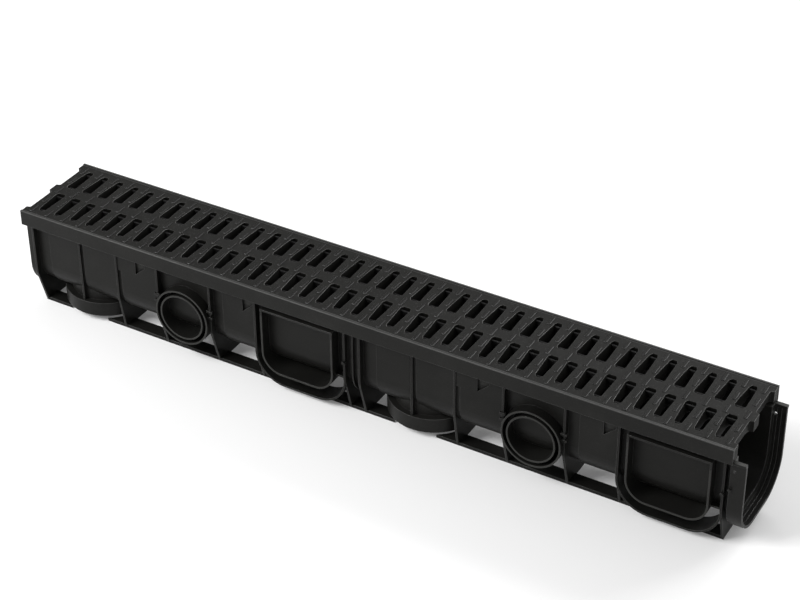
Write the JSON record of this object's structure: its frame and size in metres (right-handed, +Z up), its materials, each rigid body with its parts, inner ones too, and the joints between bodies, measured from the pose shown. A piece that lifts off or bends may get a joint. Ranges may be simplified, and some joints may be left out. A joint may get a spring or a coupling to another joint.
{
  "type": "linear floor drain",
  "caption": "Long moulded drainage channel on ribbed feet, with round outlets and U shaped side branches, and a slotted grate seated in its rim.",
  "frame": {"origin": "middle of the bounding box's underside, on the surface the feet stand on", "axes": "+X along the channel towards the end ring, -Y the side the picture shows, +Z up out of the grate"},
  "size_m": [1.015, 0.1368, 0.15],
  "materials": {
    "channel_plastic": "satin moulded black",
    "grate_plastic": "finely textured dark grey"
  },
  "bodies": {
    "channel": {"channel_body": "channel_plastic"},
    "grate_panel": {"grate": "grate_plastic"}
  },
  "joints": [
    {"name": "grate_lift", "type": "slide", "parent": "channel", "child": "grate_panel", "axis": [0, 0, 1], "range_m": [0, 0.1643]}
  ]
}
